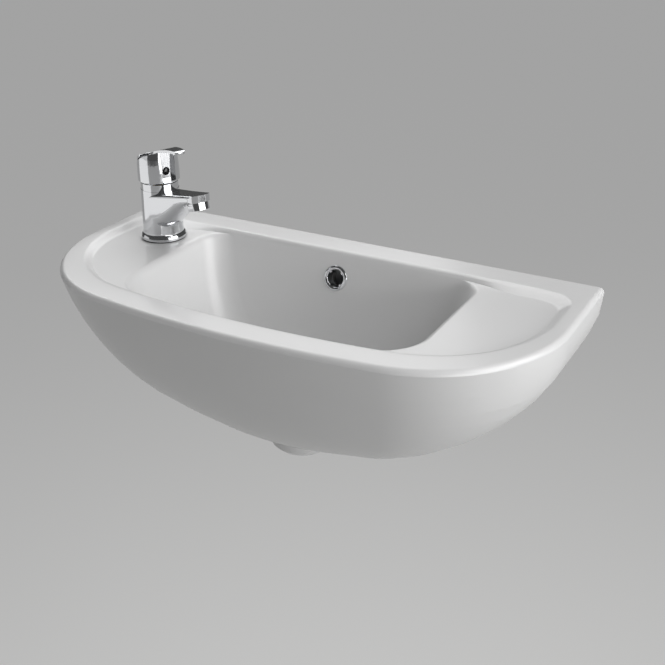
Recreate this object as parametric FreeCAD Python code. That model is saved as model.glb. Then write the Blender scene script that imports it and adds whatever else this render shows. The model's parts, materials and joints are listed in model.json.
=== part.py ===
import FreeCAD, Part
import math
import os

Vector = FreeCAD.Vector
os.makedirs("parts", exist_ok=True)

# The basin hangs on a wall. Lengths are millimetres, +Z is up and the wall is the plane y = 0.
# The front of the basin looks towards -Y, and the origin lies midway between the two wall bolts.

# Basin, outside
BASIN_WIDTH = 500.0
BASIN_DEPTH = 235.0
RIM_HEIGHT = 65.0            # rim top above the wall bolts
HULL_DROP = 142.0            # rim top to the flat of the underside
CORNER_SHARE = 0.553         # plan radius of the two front corners, as a share of the depth
FRONT_BOW = 1000.0           # plan radius of the bowed front
UNDERSIDE_WIDTH = 100.0
UNDERSIDE_DEPTH = 160.0
UNDERSIDE_CORNER = 12.0
UNDERSIDE_BOW = 62.0
HULL_FRONT_ROUND = 0.47      # share of the front's inset that is rounding, the rest is a straight lean
HULL_CORNER_EASE = 1.4       # how fast the corner tightens towards the underside
RIM_EDGE = 5.0               # rounding of the rim's outer edge
SHELL = 10.0                 # thickness of the china

# Basin, inside
RIM_WIDTH = 13.0             # rim beside the shelves
FRONT_RIM = 30.0
BACK_RIM = 30.0
DISH_DROP = 4.5              # shelves below the rim top
DISH_SLOPE = 12.0            # width of the soft slope from the rim to a shelf
DISH_EDGE = 4.0              # rounding of the rim's inner edge over the bowl
SHELF_WIDTH = 103.5          # outer side of the rim to the bowl
BOWL_DROP = 110.0            # rim top to the flat round the waste
BOWL_CORNER = 46.0
BOWL_BACK_CORNER = 25.0
BOWL_SIDE_ROUND = 0.9        # shares of rounding in the bowl's walls, the rest is a straight lean
BOWL_END_ROUND = 0.3
FOLD_RADIUS = 7.0            # rounding where a shelf folds into the bowl
SHELF_LEDGE = 0.1            # bowl's walls inside the dish's, so that the two meet on a clean line
FLOOR_WIDTH = 140.0          # flat of the bowl round the waste
FLOOR_DEPTH = 68.0
FLOOR_CORNER = 28.0
FLOOR_BOW = 150.0
WASTE_FROM_WALL = 106.0
WASTE_HOLE_RADIUS = 22.5
BOSS_RADIUS = 31.0
BOSS_ROOT_RADIUS = 37.0
BOSS_LENGTH = 32.0           # waste boss below the underside
BOSS_EDGE = 5.0

# Overflow
OVERFLOW_DROP = 26.0         # centre of the overflow below the rim top
OVERFLOW_HOLE_RADIUS = 10.5
OVERFLOW_RING_RADIUS = 12.4
OVERFLOW_BORE_RADIUS = 8.6
OVERFLOW_LIP = 2.2
OVERFLOW_SLEEVE = 9.0
OVERFLOW_LUG = 1.3
CHANNEL_WIDTH = 28.0
CHANNEL_DEPTH = 13.0

# Wall fixing and the hollow behind the shelves
BACK_PANEL = 12.0
BOLT_SPACING = 280.0
BOLT_HOLE_RADIUS = 7.0
WEB_MARGIN = 12.0            # solid middle beyond the bowl's flat, round the boss and the overflow channel
HOLLOW_SIDE = 28.0           # outer side of the rim to the hollow
MOUTH_LIP = 8.0              # solid middle to the mouth, which is the open underside of a hollow
MOUTH_SIDE = 53.0            # outer side of the rim to the mouth
MOUTH_FRONT = 95.0           # front of the rim to the mouth
MOUTH_ROUND = 0.7            # corner of the mouth under the basin's front corner, as a share of its width

# Tap, measured from the shelf upwards with its spout along its own +X
TAP_FROM_SIDE = 66.0
TAP_FROM_WALL = 66.5
SPOUT_TURN = -20.0           # degrees from the basin's length towards the front
DECK = 14.0                  # china under the tap
TAP_HOLE_RADIUS = 17.5
SEAL_HEIGHT = 1.2
SEAL_INSET = 1.0             # seal inside the base ring's edge and outside the tap hole's
BASE_RING_RADIUS = 23.0
BASE_RING_HEIGHT = 5.0
SPIGOT_RADIUS = 17.0
BODY_RADIUS = 20.4
BODY_FLARE = 1.2             # widening of the body's foot
BODY_FLARE_HEIGHT = 3.0
BODY_TOP_RADIUS = 18.7
BODY_HEIGHT = 59.0
NECK_HEIGHT = 7.0
CHAMBER_RADIUS = 14.5
CHAMBER_DEPTH = 31.0
SPOUT_REACH = 67.5
SPOUT_END_RADIUS = 11.6
SPOUT_ROOT_DROP = 12.0       # spout's top at the barrel, below the body's top
SPOUT_ROOT_UNDERSIDE = 8.0
SPOUT_ROOT_HALF = 19.0
SPOUT_END_RISE = 4.0         # spout's end above the body's top
SPOUT_END_THICKNESS = 7.0
OUTLET_DROP = 10.0           # aerator's seat below the top of the spout's end
SPOUT_CORNER = 3.0           # rounding of the spout's top edges
SPOUT_SIDE = 2.0             # least upright side of the spout between its top and bottom roundings
SPOUT_KEEL = 1.0             # least flat along the spout's rounded underside
OUTLET_TILT = 15.0
AERATOR_RADIUS = 10.2
AERATOR_LENGTH = 7.6
AERATOR_THREAD_RADIUS = 8.5
AERATOR_THREAD = 4.0
AERATOR_BORE_RADIUS = 7.2
AERATOR_FLATS = 18.4
AERATOR_RECESS = 1.0
AERATOR_HOLE_RADIUS = 1.0
AERATOR_HOLE_CIRCLE = 4.4
AERATOR_SEAL = 1.2
AERATOR_SEAL_BORE = 6.0
WATERWAY_RADIUS = 2.8
WATERWAY_RISE = 1.0          # waterway's end above the aerator's seat
WATERWAY_SHORT = 7.5         # waterway's end short of the outlet's axis
PORT_RADIUS = 2.6
PORT_CIRCLE = 7.0
INLET_RADIUS = 5.0
INLET_DEPTH = 16.0

# Cartridge
CARTRIDGE_RADIUS = 14.2
CARTRIDGE_WALL = 1.9
CARTRIDGE_BASE = 3.5
FIXED_DISC = 3.5
MOVING_DISC = 3.0
MOVING_DISC_RADIUS = 8.6
MIXING_RADIUS = 5.5
MIXING_DEPTH = 1.5
CARRIER = 5.5
GUIDE_PLAY = 0.7             # carrier to guide
GUIDE_FLANGE = 3.7
LIP = 4.0
GUIDE_NECK_RADIUS = 9.7
GUIDE_STAND = 3.0            # guide above the cartridge's lip
NUT_HEIGHT = 6.5
NUT_BORE_RADIUS = 10.6
NUT_NOTCH = 3.0
SEAL_RING_RADIUS = 4.2
SEAL_RING_BORE = 2.8
SEAL_RING_HEIGHT = 1.6
PIN_RADIUS = 1.5
PIN_LENGTH = 17.0
STEM_SIZE = 7.0
STEM_NECK_RADIUS = 2.2
STEM_RISE = 15.5             # stem above the body's top
BALL_RADIUS = 2.8
BALL_ARM = 9.7

# Lever
LEVER_GAP = 1.5              # body top to the skirt
SKIRT_RADIUS = 20.7
SKIRT_WALL = 1.5
SKIRT_HOLLOW = 8.0
SKIRT_EDGE = 0.8             # rounding of the skirt's lower edge
CAP_UPRIGHT = 9.0            # straight side of the cap above the skirt's edge
CAP_TOP_RADIUS = 15.5
LEVER_REAR_RISE = 13.5       # blade's arc above the body's top
LEVER_CROWN_RISE = 32.5
LEVER_CROWN_REACH = 8.0
LEVER_TIP_RISE = 38.0
LEVER_REACH = 46.0
BLADE = 2.6
BLADE_GAP = 1.0              # cap to the plate behind the blade
BLADE_REAR_RADIUS = 19.8
TONGUE_ROOT = 22.0
TONGUE_TIP = 13.0
LEVER_CORE_RADIUS = 12.0
FRONT_FLAT = 14.5
FRONT_FLAT_WIDTH = 15.0
FRONT_LIP = 2.0
DOT_RISE = 12.5              # plug's centre above the body's top
DOT_RADIUS = 4.0
DOT_DEPTH = 2.4
DOT_CROWN = 0.8
GRUB_RADIUS = 2.5
GRUB_LENGTH = 6.0

# Clamp under the shelf
STUD_RADIUS = 3.0
STUD_OFFSET = 9.5
STUD_BITE = 12.0             # stud inside the tap
STUD_LENGTH = 62.0
CLAMP_RADIUS = 24.0
CLAMP_SLOT = 25.0
CLAMP_GASKET = 3.0
CLAMP_WASHER = 2.0
CLAMP_NUT = 9.0
CLAMP_NUT_FLATS = 10.0

# Fits
RUNNING = 0.05               # shaft in its hole
CLEAR = 0.3                  # neighbours that must not touch
PLAY = 0.1                   # along a turning axis
PAST = 5.0                   # how far a cutter runs past a face

# Bands that the curved forms are made in
EDGE_BANDS = 4
DISH_BANDS = 5
HULL_BANDS = 10
BOWL_BANDS = 8
INNER_BANDS = 6
SPOUT_BANDS = 7
BALL_BANDS = 8
CAP_BANDS = 5

TOP = RIM_HEIGHT
SHELF_Z = TOP - DISH_DROP
DECK_UNDER = SHELF_Z - DECK
UNDERSIDE = TOP - HULL_DROP
HALF_WIDTH = BASIN_WIDTH / 2
CORNER_RADIUS = BASIN_DEPTH * CORNER_SHARE
DISH_CORNER = CORNER_RADIUS - RIM_WIDTH
BOWL_HALF = HALF_WIDTH - SHELF_WIDTH
BOWL_FLOOR = TOP - BOWL_DROP
BOSS_BOTTOM = UNDERSIDE - BOSS_LENGTH
CHANNEL_FLOOR = BOWL_FLOOR - SHELL - CHANNEL_DEPTH
WEB_HALF = FLOOR_WIDTH / 2 + WEB_MARGIN
HOLLOW_OUTER = HALF_WIDTH - HOLLOW_SIDE
MOUTH_INNER = WEB_HALF + MOUTH_LIP
MOUTH_OUTER = HALF_WIDTH - MOUTH_SIDE
MOUTH_DEPTH = BASIN_DEPTH - MOUTH_FRONT
MOUTH_CORNER = MOUTH_ROUND * (MOUTH_OUTER - MOUTH_INNER)
TAP_ORIGIN = Vector(-HALF_WIDTH + TAP_FROM_SIDE, -TAP_FROM_WALL, SHELF_Z)

# Levels inside the tap, from its landing upwards
BODY_FOOT = SEAL_HEIGHT + BASE_RING_HEIGHT
CHAMBER_FLOOR = BODY_HEIGHT - CHAMBER_DEPTH
SPOUT_ROOT_TOP = BODY_HEIGHT - SPOUT_ROOT_DROP
SPOUT_END_TOP = BODY_HEIGHT + SPOUT_END_RISE
SPOUT_END_UNDERSIDE = SPOUT_END_TOP - SPOUT_END_THICKNESS
OUTLET_HEIGHT = SPOUT_END_TOP - OUTLET_DROP
STEM_TOP = BODY_HEIGHT + STEM_RISE
LEVER_REAR_TOP = BODY_HEIGHT + LEVER_REAR_RISE
LEVER_CROWN_TOP = BODY_HEIGHT + LEVER_CROWN_RISE
LEVER_TIP_TOP = BODY_HEIGHT + LEVER_TIP_RISE
DOT_HEIGHT = BODY_HEIGHT + DOT_RISE
FIXED_DISC_Z = CHAMBER_FLOOR + CARTRIDGE_BASE
MOVING_DISC_Z = FIXED_DISC_Z + FIXED_DISC
CARRIER_Z = MOVING_DISC_Z + MOVING_DISC
GUIDE_Z = CARRIER_Z + CARRIER + GUIDE_PLAY
LIP_Z = GUIDE_Z + GUIDE_FLANGE + PLAY
CARTRIDGE_TOP = LIP_Z + LIP
PIVOT_Z = CARTRIDGE_TOP
BALL_Z = PIVOT_Z - BALL_ARM
SKIRT_Z = BODY_HEIGHT + LEVER_GAP
SKIRT_CEILING = SKIRT_Z + SKIRT_HOLLOW
CARTRIDGE_BORE = CARTRIDGE_RADIUS - CARTRIDGE_WALL
AERATOR_SOCKET = AERATOR_THREAD + AERATOR_SEAL


def save(name, shape):
    shape.exportStep("parts/" + name + ".step")


def block(x0, x1, y0, y1, z0, z1):
    return Part.makeBox(x1 - x0, y1 - y0, z1 - z0, Vector(x0, y0, z0))


def rod(radius, bottom, top, x=0.0, y=0.0):
    return Part.makeCylinder(radius, top - bottom, Vector(x, y, bottom))


def ring(outer, inner, bottom, top):
    return rod(outer, bottom, top).cut(rod(inner, bottom, top))


def revolve(points):
    """Turn an (r, z) outline round the Z axis."""
    corners = [Vector(r, 0, z) for r, z in points]
    face = Part.Face(Part.makePolygon(corners + corners[:1]))
    return face.revolve(Vector(0, 0, 0), Vector(0, 0, 1), 360)


def hex_prism(flats, bottom, top, x=0.0, y=0.0):
    corner = flats / math.sqrt(3)
    points = []
    for step in range(7):
        angle = math.radians(60 * step)
        points.append(Vector(x + corner * math.cos(angle), y + corner * math.sin(angle), bottom))
    return Part.Face(Part.makePolygon(points)).extrude(Vector(0, 0, top - bottom))


def line(a, b):
    return Part.LineSegment(a, b).toShape()


def arc(a, middle, b):
    return Part.Arc(a, middle, b).toShape()


def between(start, end, share):
    return start + (end - start) * share


def outline(half, back, front, corner, bow, back_corner, z):
    """Plan of the basin at one level: straight back and sides, round corners, bowed front."""
    bow_y = front + bow
    corner_x = half - corner
    corner_y = bow_y - math.sqrt((bow - corner) ** 2 - corner_x ** 2)
    turn = math.atan2(corner_y - bow_y, corner_x)
    slant = math.sqrt(0.5) * back_corner

    def at(x, y):
        return Vector(x, y, z)

    def on_corner(side, angle):
        return at(side * (corner_x + corner * math.cos(angle)), corner_y + corner * math.sin(angle))

    def back_arc(side):
        start = at(side * half, back - back_corner)
        end = at(side * (half - back_corner), back)
        return arc(start, at(side * (half - back_corner + slant), back - back_corner + slant), end)

    edges = [
        line(at(-half + back_corner, back), at(half - back_corner, back)),
        line(at(half, back - back_corner), at(half, corner_y)),
        arc(on_corner(1, 0), on_corner(1, turn / 2), on_corner(1, turn)),
        arc(on_corner(1, turn), at(0, front), on_corner(-1, turn)),
        arc(on_corner(-1, turn), on_corner(-1, turn / 2), on_corner(-1, 0)),
        line(at(-half, corner_y), at(-half, back - back_corner)),
    ]
    if back_corner > 0:
        edges.insert(1, back_arc(1))
        edges.append(back_arc(-1))
    return Part.Wire(edges)


def banded(wires):
    """A solid through level outlines, in straight bands from each one to the next."""
    return Part.makeLoft(wires, True, True)


def inset(turn, rounding):
    """Share of an inset reached at a profile angle: a straight lean mixed with a quarter ellipse."""
    return (1 - rounding) * math.sin(turn) + rounding * (1 - math.cos(turn))


def hull(offset, bands):
    """The basin's outer form below the rim's edge, drawn in by an offset and running past the wall."""
    wires = []
    high = TOP - RIM_EDGE
    for step in range(bands + 1):
        turn = math.radians(90.0 * step / bands)
        side = inset(turn, 1.0)
        half = between(HALF_WIDTH, UNDERSIDE_WIDTH / 2, side) - offset
        front = -between(BASIN_DEPTH, UNDERSIDE_DEPTH, inset(turn, HULL_FRONT_ROUND)) + offset
        tight = 1 - (1 - side) ** HULL_CORNER_EASE
        corner = between(CORNER_RADIUS, UNDERSIDE_CORNER, tight)
        bow = between(FRONT_BOW, UNDERSIDE_BOW, tight)
        z = high - (high - UNDERSIDE - offset) * math.sin(turn)
        wires.append(outline(half, PAST, front, corner, bow, 0.0, z))
    return wires


def rim_edge():
    """Outlines of the rim's rounded outer edge, from its top down to the hull."""
    wires = []
    for step in range(EDGE_BANDS):
        turn = math.radians(90.0 * step / EDGE_BANDS)
        drawn_in = RIM_EDGE * (1 - math.sin(turn))
        wires.append(outline(HALF_WIDTH - drawn_in, PAST, -BASIN_DEPTH + drawn_in, CORNER_RADIUS - drawn_in,
                             FRONT_BOW - drawn_in, 0.0, TOP - RIM_EDGE * (1 - math.cos(turn))))
    return wires


def end_share(drop):
    """How far the bowl's back and front walls have closed in towards the waste at a depth."""
    return inset(math.asin(drop / BOWL_DROP), BOWL_END_ROUND)


def back_wall(drop):
    return between(-BACK_RIM, -WASTE_FROM_WALL + FLOOR_DEPTH / 2, end_share(drop))


def front_wall(drop):
    return between(-BASIN_DEPTH + FRONT_RIM, -WASTE_FROM_WALL - FLOOR_DEPTH / 2, end_share(drop))


def front_bow(drop):
    return between(FRONT_BOW, FLOOR_BOW, math.sqrt(end_share(drop)))


def side_wall(drop):
    """Half width of the bowl at a depth, with its sides carried up to the shelves."""
    turn = math.asin((drop - DISH_DROP) / (BOWL_DROP - DISH_DROP))
    return between(BOWL_HALF, FLOOR_WIDTH / 2, inset(turn, BOWL_SIDE_ROUND))


def dish():
    """The shallow space inside the rim, down to the two level shelves, with a soft slope at its sides."""
    wires = []
    for step in range(DISH_BANDS + 1):
        share = step / DISH_BANDS
        sunk = (1 - math.cos(math.pi * share)) / 2
        drop = DISH_DROP * sunk
        roll = DISH_EDGE * (1 - math.sqrt(1 - (1 - sunk) ** 2))
        wires.append(outline(HALF_WIDTH - RIM_WIDTH - DISH_SLOPE * share, back_wall(drop) + roll,
                             front_wall(drop) - roll, DISH_CORNER - DISH_SLOPE * share,
                             front_bow(drop) + roll, BOWL_BACK_CORNER, TOP - drop))
    return banded(wires)


def bowl_profile(bands):
    """Depths and half widths down the bowl's side: a round fold off the shelf, then the curved wall."""
    step = 1.0
    steep = math.atan2(step, BOWL_HALF - side_wall(DISH_DROP + step))
    run = FOLD_RADIUS * math.tan(steep / 2)
    profile = []
    for fold in range(EDGE_BANDS + 1):
        turn = steep * fold / EDGE_BANDS
        drop = DISH_DROP - SHELF_LEDGE + FOLD_RADIUS * (1 - math.cos(turn))
        profile.append((drop, BOWL_HALF + run - FOLD_RADIUS * math.sin(turn)))
    first = math.asin(profile[-1][0] / BOWL_DROP)
    for level in range(1, bands + 1):
        drop = BOWL_DROP * math.sin(between(first, math.pi / 2, level / bands))
        profile.append((drop, side_wall(drop)))
    return profile


def bowl(offset, bands):
    """The space of the bowl below the shelves. An offset lets it out by a wall, for its outer side."""
    wires = []
    let_out = offset - SHELF_LEDGE
    for drop, half in bowl_profile(bands):
        end = end_share(drop)
        corner = between(BOWL_CORNER, FLOOR_CORNER, end)
        back_corner = between(BOWL_BACK_CORNER, FLOOR_CORNER, end)
        z = TOP - drop - offset * drop / BOWL_DROP
        wires.append(outline(half + offset, back_wall(drop) + let_out, front_wall(drop) - let_out, corner,
                             front_bow(drop) + offset, back_corner, z))
    return banded(wires)


def hollow():
    """The open space between the bowl and the outer form on the right, open below beside the wall."""
    low = BOSS_BOTTOM - PAST
    space = block(WEB_HALF, HOLLOW_OUTER, -BASIN_DEPTH, -BACK_PANEL, low, DECK_UNDER)
    inside = banded(hull(SHELL, INNER_BANDS)).common(space)
    centre_x = MOUTH_OUTER - MOUTH_CORNER
    centre_y = MOUTH_CORNER - MOUTH_DEPTH
    slant = math.sqrt(0.5) * MOUTH_CORNER
    corners = [Vector(MOUTH_INNER, -BACK_PANEL, low), Vector(MOUTH_OUTER, -BACK_PANEL, low),
               Vector(MOUTH_OUTER, centre_y, low), Vector(centre_x, -MOUTH_DEPTH, low),
               Vector(MOUTH_INNER, -MOUTH_DEPTH, low)]
    mouth = Part.Wire([
        line(corners[0], corners[1]),
        line(corners[1], corners[2]),
        arc(corners[2], Vector(centre_x + slant, centre_y - slant, low), corners[3]),
        line(corners[3], corners[4]),
        line(corners[4], corners[0]),
    ])
    opening = Part.Face(mouth).extrude(Vector(0, 0, DECK_UNDER - SHELL - low))
    return inside.fuse(opening).cut(bowl(SHELL, INNER_BANDS))


def overflow_frame(shape):
    """Stand a piece that was drawn along +Z square on the bowl's back wall, facing into the bowl."""
    above = OVERFLOW_DROP - OVERFLOW_RING_RADIUS
    below = OVERFLOW_DROP + OVERFLOW_RING_RADIUS
    lean = math.degrees(math.atan2(back_wall(above) - back_wall(below), below - above))
    shape.rotate(Vector(0, 0, 0), Vector(1, 0, 0), 90 - lean)
    shape.translate(Vector(0, back_wall(OVERFLOW_DROP), TOP - OVERFLOW_DROP))
    return shape


def overflow_channel():
    """Duct behind and under the bowl that leads the overflow into the waste hole."""
    half = CHANNEL_WIDTH / 2
    back = -BACK_PANEL
    drop = block(-half, half, back - CHANNEL_DEPTH, back, CHANNEL_FLOOR, TOP - OVERFLOW_DROP + half)
    run = block(-half, half, -WASTE_FROM_WALL, back, CHANNEL_FLOOR, CHANNEL_FLOOR + CHANNEL_DEPTH)
    mouth = overflow_frame(rod(OVERFLOW_HOLE_RADIUS, -BACK_RIM / 2 - PAST, PAST))
    return drop.fuse([run, mouth])


def waste_boss():
    """Spigot round the waste hole, tapering to a narrow lower edge."""
    root = UNDERSIDE + SHELL
    return revolve([(0, BOSS_BOTTOM), (BOSS_RADIUS - BOSS_EDGE, BOSS_BOTTOM),
                    (BOSS_RADIUS, BOSS_BOTTOM + BOSS_EDGE), (BOSS_ROOT_RADIUS, root), (0, root)])


def basin_body():
    body = banded(rim_edge() + hull(0.0, HULL_BANDS))
    body = body.common(block(-HALF_WIDTH, HALF_WIDTH, -BASIN_DEPTH, 0, UNDERSIDE, TOP))
    body = body.cut(dish().fuse(bowl(0.0, BOWL_BANDS)))
    right_hollow = hollow()
    body = body.cut(right_hollow)
    body = body.cut(right_hollow.mirror(Vector(0, 0, 0), Vector(1, 0, 0)))
    for side in (-1, 1):
        bolt = Part.makeCylinder(BOLT_HOLE_RADIUS, BACK_PANEL + 2 * PAST,
                                 Vector(side * BOLT_SPACING / 2, PAST, 0), Vector(0, -1, 0))
        body = body.cut(bolt)
    boss = waste_boss()
    boss.translate(Vector(0, -WASTE_FROM_WALL, 0))
    body = body.fuse(boss)
    body = body.cut(rod(WASTE_HOLE_RADIUS, BOSS_BOTTOM - PAST, BOWL_FLOOR + PAST, 0, -WASTE_FROM_WALL))
    body = body.cut(overflow_channel())
    body = body.cut(overflow_frame(rod(OVERFLOW_RING_RADIUS + CLEAR, 0, PAST)))
    return body.cut(rod(TAP_HOLE_RADIUS, DECK_UNDER - PAST, TOP, TAP_ORIGIN.x, TAP_ORIGIN.y))


def overflow_ring():
    """Plated insert: a rounded lip on a sleeve, with four small spring lugs inside its mouth."""
    sleeve = OVERFLOW_HOLE_RADIUS - PLAY
    lip = revolve([(OVERFLOW_BORE_RADIUS, PLAY), (OVERFLOW_RING_RADIUS, PLAY),
                   (OVERFLOW_RING_RADIUS, OVERFLOW_LIP / 2),
                   ((OVERFLOW_RING_RADIUS + OVERFLOW_BORE_RADIUS) / 2, OVERFLOW_LIP),
                   (OVERFLOW_BORE_RADIUS, OVERFLOW_LIP / 2)])
    piece = lip.fuse(ring(sleeve, OVERFLOW_BORE_RADIUS, -OVERFLOW_SLEEVE, PLAY))
    lug = block(OVERFLOW_BORE_RADIUS - OVERFLOW_LUG, OVERFLOW_BORE_RADIUS + OVERFLOW_LUG / 2,
                -OVERFLOW_LUG, OVERFLOW_LUG, -OVERFLOW_SLEEVE, OVERFLOW_LIP / 2)
    for step in range(4):
        turned = lug.copy()
        turned.rotate(Vector(0, 0, 0), Vector(0, 0, 1), 45 + 90 * step)
        piece = piece.fuse(turned)
    return overflow_frame(piece.removeSplitter())


def save_tap(name, shape):
    """Set a piece of the tap on its landing, with the spout turned towards the bowl, and write it."""
    shape.rotate(Vector(0, 0, 0), Vector(0, 0, 1), SPOUT_TURN)
    shape.translate(TAP_ORIGIN)
    save(name, shape)


def ports():
    """Centres of the cartridge's three ports: outlet towards the spout, then the two inlets."""
    centres = []
    for step in range(3):
        angle = math.radians(120 * step)
        centres.append((PORT_CIRCLE * math.cos(angle), PORT_CIRCLE * math.sin(angle)))
    return centres


def rounded_section(x, half, low, high, corner):
    """Upright section of the spout across the X axis: small roundings above and wide ones below."""
    keel = min(half - SPOUT_KEEL, high - low - corner - SPOUT_SIDE)
    corners = [(-1, low, keel), (1, low, keel), (1, high, -corner), (-1, high, -corner)]
    edges = []
    points = []
    for index, (side, z, rise) in enumerate(corners):
        slant = 1 - math.sqrt(0.5)
        along = Vector(x, side * (half - abs(rise)), z)
        rising = Vector(x, side * half, z + rise)
        middle = Vector(x, side * (half - abs(rise) * slant), z + rise * slant)
        first, last = (rising, along) if index % 2 == 0 else (along, rising)
        points.append((first, middle, last))
    for index, (first, middle, last) in enumerate(points):
        edges.append(arc(first, middle, last))
        edges.append(line(last, points[(index + 1) % 4][0]))
    return Part.Wire(edges)


def spout():
    length = SPOUT_REACH + SPOUT_END_RADIUS
    wires = []
    for step in range(SPOUT_BANDS + 1):
        share = step / SPOUT_BANDS
        sweep = share * share * (3 - 2 * share)
        half = between(SPOUT_ROOT_HALF, SPOUT_END_RADIUS, math.sin(math.radians(90 * share)))
        low = between(SPOUT_ROOT_UNDERSIDE, SPOUT_END_UNDERSIDE, sweep)
        high = between(SPOUT_ROOT_TOP, SPOUT_END_TOP, share)
        wires.append(rounded_section(share * length, half, low, high, SPOUT_CORNER))
    plan = block(-PAST, SPOUT_REACH, -BODY_RADIUS, BODY_RADIUS, 0, BODY_HEIGHT + PAST)
    return banded(wires).common(plan.fuse(rod(SPOUT_END_RADIUS, 0, BODY_HEIGHT + PAST, SPOUT_REACH)))


def outlet_frame(shape):
    """Tip a piece that was drawn along -Z into the outlet under the spout's end."""
    shape.rotate(Vector(0, 0, 0), Vector(0, 1, 0), -OUTLET_TILT)
    shape.translate(Vector(SPOUT_REACH, 0, OUTLET_HEIGHT))
    return shape


def tap_body():
    neck_z = BODY_HEIGHT - NECK_HEIGHT
    barrel = revolve([(0, 0), (SPIGOT_RADIUS, 0), (SPIGOT_RADIUS, BODY_FOOT),
                      (BODY_RADIUS + BODY_FLARE, BODY_FOOT),
                      (BODY_RADIUS + BODY_FLARE / 3, BODY_FOOT + BODY_FLARE_HEIGHT / 3),
                      (BODY_RADIUS, BODY_FOOT + BODY_FLARE_HEIGHT),
                      (BODY_TOP_RADIUS + CLEAR, neck_z), (BODY_TOP_RADIUS, neck_z),
                      (BODY_TOP_RADIUS, BODY_HEIGHT), (0, BODY_HEIGHT)])
    body = barrel.fuse(spout())
    body = body.cut(outlet_frame(rod(AERATOR_RADIUS + CLEAR, -SPOUT_REACH / 2, 0)))
    body = body.cut(outlet_frame(rod(AERATOR_THREAD_RADIUS + PLAY, -PAST, AERATOR_SOCKET)))
    body = body.cut(rod(CHAMBER_RADIUS, CHAMBER_FLOOR, BODY_HEIGHT + PAST))
    outlet, *inlets = ports()
    start = Vector(outlet[0], 0, CHAMBER_FLOOR - 2)
    run = Vector(SPOUT_REACH - WATERWAY_SHORT, 0, OUTLET_HEIGHT + WATERWAY_RISE) - start
    body = body.cut(Part.makeCylinder(WATERWAY_RADIUS, run.Length, start, run))
    body = body.cut(rod(PORT_RADIUS, CHAMBER_FLOOR - PAST, CHAMBER_FLOOR + 1, *outlet))
    for x, y in inlets:
        body = body.cut(rod(INLET_RADIUS, -PAST, INLET_DEPTH, x, y))
        body = body.cut(rod(PORT_RADIUS, INLET_DEPTH - 1, CHAMBER_FLOOR + 1, x, y))
    return body.cut(rod(STUD_RADIUS + RUNNING, -PAST, STUD_BITE, STUD_OFFSET))


def base_ring():
    bore = SPIGOT_RADIUS + PLAY
    low = SEAL_HEIGHT
    return revolve([(bore, low), (BASE_RING_RADIUS, low), (BASE_RING_RADIUS, (low + BODY_FOOT) / 2),
                    (BODY_RADIUS + BODY_FLARE, BODY_FOOT), (bore, BODY_FOOT)])


def aerator_housing():
    shell = ring(AERATOR_RADIUS, AERATOR_BORE_RADIUS, -AERATOR_LENGTH, 0)
    shell = shell.fuse(ring(AERATOR_THREAD_RADIUS, AERATOR_BORE_RADIUS, 0, AERATOR_THREAD))
    for side in (-1, 1):
        inner = side * AERATOR_FLATS / 2
        outer = side * (AERATOR_RADIUS + PAST)
        shell = shell.cut(block(-PAST * 3, PAST * 3, min(inner, outer), max(inner, outer),
                                -AERATOR_LENGTH, -AERATOR_LENGTH / 3))
    return outlet_frame(shell)


def aerator_insert():
    low = -AERATOR_LENGTH + AERATOR_RECESS
    insert = rod(AERATOR_BORE_RADIUS - RUNNING, low, AERATOR_THREAD)
    insert = insert.cut(rod(AERATOR_HOLE_RADIUS, low - 1, AERATOR_THREAD + 1))
    for step in range(8):
        angle = math.radians(45 * step)
        insert = insert.cut(rod(AERATOR_HOLE_RADIUS, low - 1, AERATOR_THREAD + 1,
                                AERATOR_HOLE_CIRCLE * math.cos(angle), AERATOR_HOLE_CIRCLE * math.sin(angle)))
    return outlet_frame(insert)


def aerator_seal():
    return outlet_frame(ring(AERATOR_THREAD_RADIUS, AERATOR_SEAL_BORE, AERATOR_THREAD, AERATOR_SOCKET))


def with_ports(shape, radius, bottom, top):
    for x, y in ports():
        shape = shape.cut(rod(radius, bottom, top, x, y))
    return shape


def cartridge_base():
    base = rod(CARTRIDGE_RADIUS, CHAMBER_FLOOR, FIXED_DISC_Z)
    base = with_ports(base, PORT_RADIUS, CHAMBER_FLOOR - 1, FIXED_DISC_Z + 1)
    return with_ports(base, SEAL_RING_RADIUS + RUNNING, CHAMBER_FLOOR - 1, CHAMBER_FLOOR + SEAL_RING_HEIGHT)


def cartridge_seals():
    rings = []
    for x, y in ports():
        seal = ring(SEAL_RING_RADIUS, SEAL_RING_BORE, CHAMBER_FLOOR, CHAMBER_FLOOR + SEAL_RING_HEIGHT)
        seal.translate(Vector(x, y, 0))
        rings.append(seal)
    return Part.makeCompound(rings)


def fixed_disc():
    disc = rod(CARTRIDGE_BORE - PLAY, FIXED_DISC_Z, MOVING_DISC_Z)
    return with_ports(disc, PORT_RADIUS, FIXED_DISC_Z - 1, MOVING_DISC_Z + 1)


def moving_disc():
    disc = rod(MOVING_DISC_RADIUS, MOVING_DISC_Z, CARRIER_Z)
    return disc.cut(rod(MIXING_RADIUS, MOVING_DISC_Z - 1, MOVING_DISC_Z + MIXING_DEPTH))


def disc_carrier():
    room = BALL_RADIUS + CLEAR
    carrier = rod(MOVING_DISC_RADIUS, CARRIER_Z, CARRIER_Z + CARRIER)
    return carrier.cut(block(-room, room, -room, room, BALL_Z - room, GUIDE_Z))


def cartridge_housing():
    wall = ring(CARTRIDGE_RADIUS, CARTRIDGE_BORE, FIXED_DISC_Z, CARTRIDGE_TOP)
    lip = ring(CARTRIDGE_RADIUS, GUIDE_NECK_RADIUS + RUNNING, LIP_Z, CARTRIDGE_TOP)
    return wall.fuse(lip).removeSplitter()


def cross_pin(radius, length):
    return Part.makeCylinder(radius, length, Vector(0, -length / 2, PIVOT_Z), Vector(0, 1, 0))


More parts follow.
